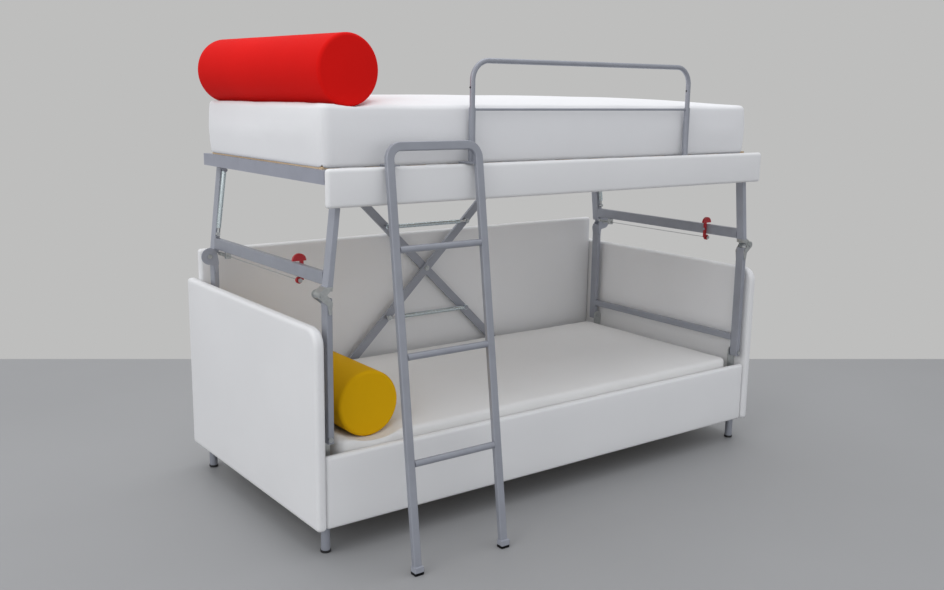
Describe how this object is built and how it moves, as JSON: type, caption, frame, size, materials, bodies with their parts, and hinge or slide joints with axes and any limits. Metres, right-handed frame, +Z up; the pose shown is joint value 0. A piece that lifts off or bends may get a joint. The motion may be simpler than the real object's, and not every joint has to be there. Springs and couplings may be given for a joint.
{
  "type": "sofa bed",
  "caption": "Sofa bed opened as a bunk bed, with folding end frames, crossed brace, guard rail, hook-on ladder and bolsters.",
  "frame": {"origin": "floor point under the middle of the overall box", "axes": "+X along the length to the sleeper's right in the picture, -Y towards the front with the ladder, +Z up"},
  "size_m": [2.08, 1.301, 1.6331],
  "materials": {
    "white_leatherette": "white upholstery leatherette with a fine grain",
    "white_cover": "white woven mattress cover",
    "frame_paint": "satin silver-grey powder coat",
    "zinc_steel": "zinc-plated steel",
    "lever_red": "dark red moulded lever",
    "black_plastic": "black moulded plastic",
    "birch_slat": "bonded birch slats",
    "red_cloth": "red upholstery cloth",
    "yellow_cloth": "yellow upholstery cloth"
  },
  "bodies": {
    "base": {"front_panel": "white_leatherette", "back_panel": "white_leatherette", "left_arm_panel": "white_leatherette", "right_arm_panel": "white_leatherette", "base_long_rails": "frame_paint", "base_end_rails": "frame_paint", "base_slats": "birch_slat", "lower_mattress": "white_cover", "base_feet": "frame_paint", "foot_glides": "black_plastic", "lower_pivot_bolts": "zinc_steel", "brace_channel": "frame_paint"},
    "upper_bed": {"upper_long_rails": "frame_paint", "upper_end_rails": "frame_paint", "upper_slats": "birch_slat", "upper_front_panel": "white_leatherette", "upper_mattress": "white_cover", "guard_sleeve_frame": "frame_paint", "brace_top_channel": "frame_paint"},
    "guard": {"guard_rail": "frame_paint"},
    "left_button": {"left_snap_button": "black_plastic"},
    "right_button": {"right_snap_button": "black_plastic"},
    "brace_a": {"brace_arm_a": "frame_paint", "brace_pins": "zinc_steel"},
    "brace_b": {"brace_arm_b": "frame_paint"},
    "upper_strut_tube": {"upper_strut_cylinder": "frame_paint"},
    "upper_strut_slider": {"upper_strut_rod": "zinc_steel"},
    "lower_strut_tube": {"lower_strut_cylinder": "frame_paint"},
    "lower_strut_slider": {"lower_strut_rod": "zinc_steel"},
    "ladder": {"ladder_frame": "frame_paint", "ladder_rungs": "frame_paint", "ladder_feet": "black_plastic"},
    "upper_cushion": {"upper_bolster": "red_cloth"},
    "lower_cushion": {"lower_bolster": "yellow_cloth"},
    "left_lower_leg": {"left_lower_posts": "frame_paint", "left_lower_crossbar": "frame_paint", "left_knee_plates": "zinc_steel", "left_knee_bolts": "zinc_steel"},
    "left_upper_leg": {"left_upper_posts": "frame_paint", "left_upper_crossbar": "frame_paint", "left_top_bolts": "zinc_steel", "left_latch_block": "zinc_steel", "left_latch_spring": "zinc_steel"},
    "left_latch": {"left_latch_rod": "zinc_steel"},
    "left_lever": {"left_release_lever": "lever_red"},
    "left_gas_tube": {"left_gas_cylinder": "frame_paint"},
    "left_gas_slider": {"left_gas_rod": "zinc_steel"},
    "right_lower_leg": {"right_lower_posts": "frame_paint", "right_lower_crossbar": "frame_paint", "right_knee_plates": "zinc_steel", "right_knee_bolts": "zinc_steel"},
    "right_upper_leg": {"right_upper_posts": "frame_paint", "right_upper_crossbar": "frame_paint", "right_top_bolts": "zinc_steel", "right_latch_block": "zinc_steel", "right_latch_spring": "zinc_steel"},
    "right_latch": {"right_latch_rod": "zinc_steel"},
    "right_lever": {"right_release_lever": "lever_red"},
    "right_gas_tube": {"right_gas_cylinder": "frame_paint"},
    "right_gas_slider": {"right_gas_rod": "zinc_steel"}
  },
  "joints": [
    {"name": "left_fold", "type": "hinge", "parent": "base", "child": "left_lower_leg", "pos_m": [-0.98, 0, 0.385], "axis": [0, 1, 0], "range_deg": [0, 86]},
    {"name": "right_fold", "type": "hinge", "parent": "base", "child": "right_lower_leg", "pos_m": [0.98, 0, 0.385], "axis": [0, 1, 0], "range_deg": [-86.02, 0]},
    {"name": "left_knee", "type": "hinge", "parent": "left_lower_leg", "child": "left_upper_leg", "pos_m": [-1.003, 0, 0.848], "axis": [0, 1, 0], "range_deg": [-187.5, 0]},
    {"name": "right_knee", "type": "hinge", "parent": "right_lower_leg", "child": "right_upper_leg", "pos_m": [1.003, 0, 0.848], "axis": [0, 1, 0], "range_deg": [0, 187.5]},
    {"name": "bed_level", "type": "hinge", "parent": "left_upper_leg", "child": "upper_bed", "pos_m": [-0.88, 0, 1.193], "axis": [0, 1, 0], "range_deg": [0, 101.5]},
    {"name": "brace_fold", "type": "hinge", "parent": "base", "child": "brace_a", "pos_m": [-0.50757, 0, 0.215], "axis": [0, 1, 0], "range_deg": [0, 32.61]},
    {"name": "brace_cross", "type": "hinge", "parent": "brace_a", "child": "brace_b", "pos_m": [0, 0, 0.705], "axis": [0, 1, 0], "range_deg": [-65.19, 0]},
    {"name": "upper_strut_turn", "type": "hinge", "parent": "brace_b", "child": "upper_strut_tube", "pos_m": [-0.20201, 0, 0.90002], "axis": [0, 1, 0], "range_deg": [0, 32.61]},
    {"name": "upper_rod_turn", "type": "hinge", "parent": "brace_a", "child": "upper_strut_slider", "pos_m": [0.20201, 0, 0.90002], "axis": [0, 1, 0], "range_deg": [-32.61, 0]},
    {"name": "lower_strut_turn", "type": "hinge", "parent": "brace_b", "child": "lower_strut_tube", "pos_m": [0.20201, 0, 0.50998], "axis": [0, 1, 0], "range_deg": [0, 32.61]},
    {"name": "lower_rod_turn", "type": "hinge", "parent": "brace_a", "child": "lower_strut_slider", "pos_m": [-0.20201, 0, 0.50998], "axis": [0, 1, 0], "range_deg": [-32.61, 0]},
    {"name": "left_gas_turn", "type": "hinge", "parent": "upper_bed", "child": "left_gas_tube", "pos_m": [-0.938, 0, 1.166], "axis": [0, 1, 0], "range_deg": [-96.29, 0]},
    {"name": "left_gas_slide", "type": "slide", "parent": "left_gas_tube", "child": "left_gas_slider", "axis": [-0.1385, 0, -0.9904], "range_m": [0, 0.0958]},
    {"name": "right_gas_turn", "type": "hinge", "parent": "upper_bed", "child": "right_gas_tube", "pos_m": [0.938, 0, 1.166], "axis": [0, 1, 0], "range_deg": [0, 96.27]},
    {"name": "right_gas_slide", "type": "slide", "parent": "right_gas_tube", "child": "right_gas_slider", "axis": [0.1385, 0, -0.9904], "range_m": [0, 0.09118]},
    {"name": "left_latch_pull", "type": "slide", "parent": "left_upper_leg", "child": "left_latch", "axis": [0, -1, 0], "range_m": [0, 0.012]},
    {"name": "left_lever_turn", "type": "hinge", "parent": "left_upper_leg", "child": "left_lever", "pos_m": [-0.9575, -0.1445, 0.8945], "axis": [1, 0, 0], "range_deg": [-19.24, 0]},
    {"name": "right_latch_pull", "type": "slide", "parent": "right_upper_leg", "child": "right_latch", "axis": [0, -1, 0], "range_m": [0, 0.012]},
    {"name": "right_lever_turn", "type": "hinge", "parent": "right_upper_leg", "child": "right_lever", "pos_m": [0.9575, -0.1665, 0.8945], "axis": [1, 0, 0], "range_deg": [-19.24, 0]},
    {"name": "guard_slide", "type": "slide", "parent": "upper_bed", "child": "guard", "axis": [0, 0, 1], "range_m": [-0.055, 0]},
    {"name": "left_button_push", "type": "slide", "parent": "guard", "child": "left_button", "axis": [1, 0, 0], "range_m": [0, 0.00225]},
    {"name": "right_button_push", "type": "slide", "parent": "guard", "child": "right_button", "axis": [1, 0, 0], "range_m": [0, 0.00225]},
    {"name": "ladder_lift", "type": "slide", "parent": "base", "child": "ladder", "axis": [0, -0.4472, 0.8944], "range_m": [0, 1.84696]},
    {"name": "lower_cushion_out", "type": "slide", "parent": "base", "child": "lower_cushion", "axis": [0.3589, -0.932, 0.0504], "range_m": [0, 1.19277]},
    {"name": "upper_cushion_shift", "type": "slide", "parent": "upper_bed", "child": "upper_cushion", "axis": [0.9798, 0, 0.2], "range_m": [0, 0.06104]}
  ],
  "couplings": [
    {"joint": "right_fold", "follows": "left_fold", "ratio": -1},
    {"joint": "left_knee", "follows": "left_fold", "ratio": -2.18},
    {"joint": "right_knee", "follows": "left_fold", "ratio": 2.18},
    {"joint": "bed_level", "follows": "left_fold", "ratio": 1.18},
    {"joint": "brace_fold", "follows": "left_fold", "ratio": 0.37891},
    {"joint": "brace_cross", "follows": "left_fold", "ratio": -0.75782},
    {"joint": "upper_strut_turn", "follows": "left_fold", "ratio": 0.37891},
    {"joint": "upper_rod_turn", "follows": "left_fold", "ratio": -0.37891},
    {"joint": "lower_strut_turn", "follows": "left_fold", "ratio": 0.37891},
    {"joint": "lower_rod_turn", "follows": "left_fold", "ratio": -0.37891},
    {"joint": "left_gas_turn", "follows": "left_fold", "ratio": -1.1194},
    {"joint": "left_gas_slide", "follows": "left_fold", "m_per_rad": 0.063757},
    {"joint": "right_gas_turn", "follows": "left_fold", "ratio": 1.1192},
    {"joint": "right_gas_slide", "follows": "left_fold", "m_per_rad": 0.06068},
    {"joint": "left_lever_turn", "follows": "left_latch_pull", "rad_per_m": -27.916},
    {"joint": "right_lever_turn", "follows": "right_latch_pull", "rad_per_m": -27.916},
    {"joint": "left_button_push", "follows": "guard_slide", "ratio": -0.04},
    {"joint": "right_button_push", "follows": "guard_slide", "ratio": -0.04},
    {"joint": "ladder_lift", "follows": "left_fold", "m_per_rad": 1.2298},
    {"joint": "lower_cushion_out", "follows": "left_fold", "m_per_rad": 0.79399},
    {"joint": "upper_cushion_shift", "follows": "left_fold", "m_per_rad": 0.04}
  ]
}
